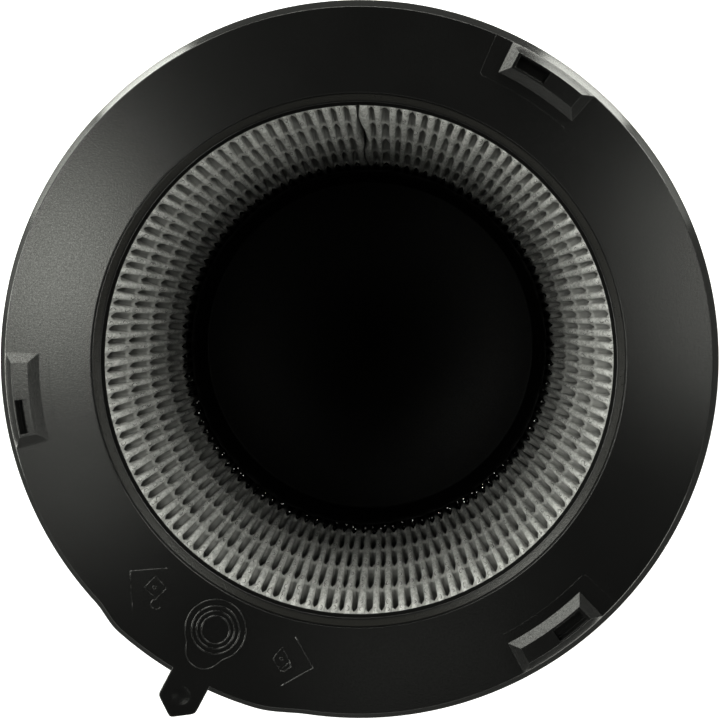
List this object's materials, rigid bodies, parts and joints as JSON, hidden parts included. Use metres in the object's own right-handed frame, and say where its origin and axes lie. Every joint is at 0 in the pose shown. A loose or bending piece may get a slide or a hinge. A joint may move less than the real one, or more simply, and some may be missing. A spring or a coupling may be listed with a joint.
{
  "type": "air purifier filter",
  "caption": "Cylindrical pleated filter: black twist-lock top frame with an open bore, pale folded pack glued between the frame and a closed black bottom cap.",
  "frame": {"origin": "centre of the flat base of the closed bottom cap, on the filter's axis", "axes": "+Z along the axis, out of the open end; seen from the open end with +X to the right and +Y up, the pull tab is at the lower left"},
  "size_m": [0.25, 0.25, 0.153],
  "materials": {
    "frame_plastic": "moulded black plastic with a fine spark texture on the face and smoother blocks",
    "cap_plastic": "moulded black plastic, satin",
    "filter_paper": "matt pale grey fibrous filter paper",
    "pleat_glue": "pale hot-melt glue, dull",
    "end_glue": "glossy black potting glue"
  },
  "bodies": {
    "root": {"top_frame": "frame_plastic", "bottom_cap": "cap_plastic", "pleat_pack": "filter_paper", "seam_glue": "pleat_glue", "bore_beads_1": "pleat_glue", "bore_beads_2": "pleat_glue", "bore_beads_3": "pleat_glue", "bore_beads_4": "pleat_glue", "bore_beads_5": "pleat_glue", "outer_beads_1": "pleat_glue", "outer_beads_2": "pleat_glue", "outer_beads_3": "pleat_glue", "top_glue": "end_glue", "bottom_glue": "end_glue", "collar_seal": "end_glue"}
  },
  "joints": []
}
